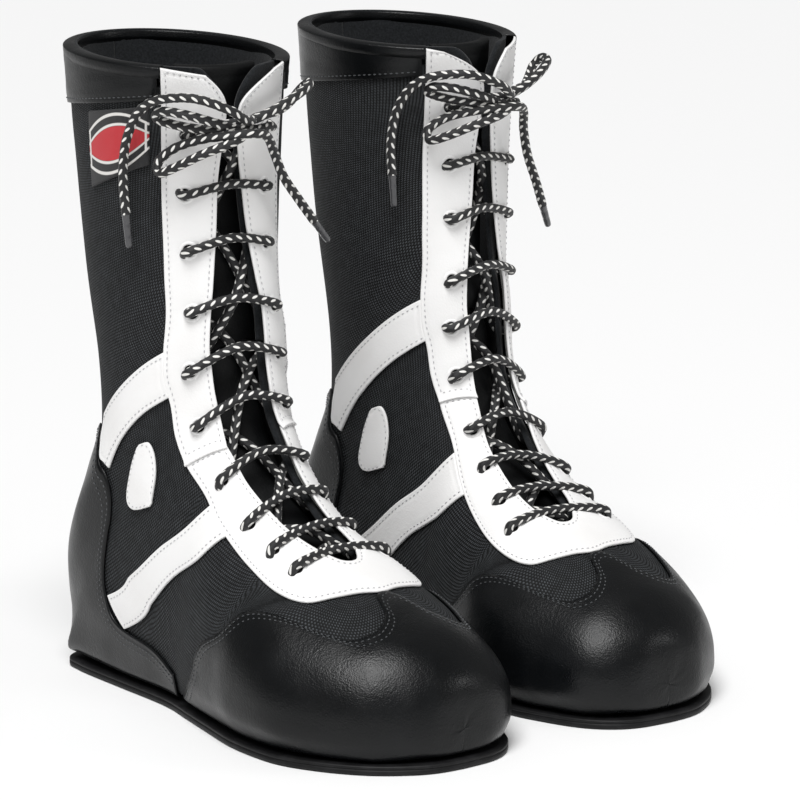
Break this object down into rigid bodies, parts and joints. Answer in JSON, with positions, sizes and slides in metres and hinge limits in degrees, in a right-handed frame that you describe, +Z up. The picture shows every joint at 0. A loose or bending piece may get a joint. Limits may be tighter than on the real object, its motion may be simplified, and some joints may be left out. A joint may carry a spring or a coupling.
{
  "type": "boxing boots",
  "caption": "Pair of high lace-up boxing boots in black mesh and leather with white facings, straps and a tied round lace.",
  "frame": {"origin": "on the floor, midway between the two boots and midway between heel and toe", "axes": "+Z up, -Y towards the toes, +X towards the wearer's left"},
  "size_m": [0.2564, 0.2689, 0.3054],
  "materials": {
    "rubber_sole": "matt",
    "fibre_board": "matt",
    "felt_lining": "matt",
    "black_leather": "semi-gloss",
    "white_leather": "smooth",
    "stiffener": "matt",
    "mesh_cloth": "woven",
    "tongue_leather": "soft",
    "label_patch": "embroidered",
    "lace_braid": "braided",
    "aglet_plastic": "gloss"
  },
  "bodies": {
    "right_boot": {"right_outsole": "rubber_sole", "right_insole_board": "fibre_board", "right_footbed": "felt_lining", "right_toe_cap": "black_leather", "right_toe_puff": "stiffener", "right_heel_counter": "black_leather", "right_heel_stiffener": "stiffener", "right_outer_quarter": "mesh_cloth", "right_inner_quarter": "mesh_cloth", "right_outer_facing": "white_leather", "right_inner_facing": "white_leather", "right_vamp_facing": "white_leather", "right_lace_stays": "stiffener", "right_outer_ankle_strap": "white_leather", "right_inner_ankle_strap": "white_leather", "right_outer_instep_strap": "white_leather", "right_inner_instep_strap": "white_leather", "right_outer_ankle_patch": "white_leather", "right_inner_ankle_patch": "white_leather", "right_collar_band": "black_leather", "right_outer_foot_lining": "felt_lining", "right_inner_foot_lining": "felt_lining", "right_outer_shaft_lining": "felt_lining", "right_inner_shaft_lining": "felt_lining", "right_tongue_base": "tongue_leather", "right_cuff_label": "label_patch", "right_lace": "lace_braid", "right_lace_ends": "lace_braid", "right_aglets": "aglet_plastic"},
    "right_tongue": {"right_tongue_flap": "tongue_leather"},
    "left_boot": {"left_outsole": "rubber_sole", "left_insole_board": "fibre_board", "left_footbed": "felt_lining", "left_toe_cap": "black_leather", "left_toe_puff": "stiffener", "left_heel_counter": "black_leather", "left_heel_stiffener": "stiffener", "left_outer_quarter": "mesh_cloth", "left_inner_quarter": "mesh_cloth", "left_outer_facing": "white_leather", "left_inner_facing": "white_leather", "left_vamp_facing": "white_leather", "left_lace_stays": "stiffener", "left_outer_ankle_strap": "white_leather", "left_inner_ankle_strap": "white_leather", "left_outer_instep_strap": "white_leather", "left_inner_instep_strap": "white_leather", "left_outer_ankle_patch": "white_leather", "left_inner_ankle_patch": "white_leather", "left_collar_band": "black_leather", "left_outer_foot_lining": "felt_lining", "left_inner_foot_lining": "felt_lining", "left_outer_shaft_lining": "felt_lining", "left_inner_shaft_lining": "felt_lining", "left_tongue_base": "tongue_leather", "left_cuff_label": "label_patch", "left_lace": "lace_braid", "left_lace_ends": "lace_braid", "left_aglets": "aglet_plastic"},
    "left_tongue": {"left_tongue_flap": "tongue_leather"}
  },
  "joints": [
    {"name": "left_boot_lift", "type": "slide", "parent": "right_boot", "child": "left_boot", "axis": [0, 0, 1], "range_m": [0, 0.3]},
    {"name": "right_tongue_tip", "type": "hinge", "parent": "right_boot", "child": "right_tongue", "pos_m": [-0.075, 0.028, 0.169], "axis": [-1, 0, 0], "range_deg": [0, 12], "stiffness_Nm_per_rad": 0.2},
    {"name": "left_tongue_tip", "type": "hinge", "parent": "left_boot", "child": "left_tongue", "pos_m": [0.075, 0.028, 0.169], "axis": [-1, 0, 0], "range_deg": [0, 12], "stiffness_Nm_per_rad": 0.2}
  ]
}
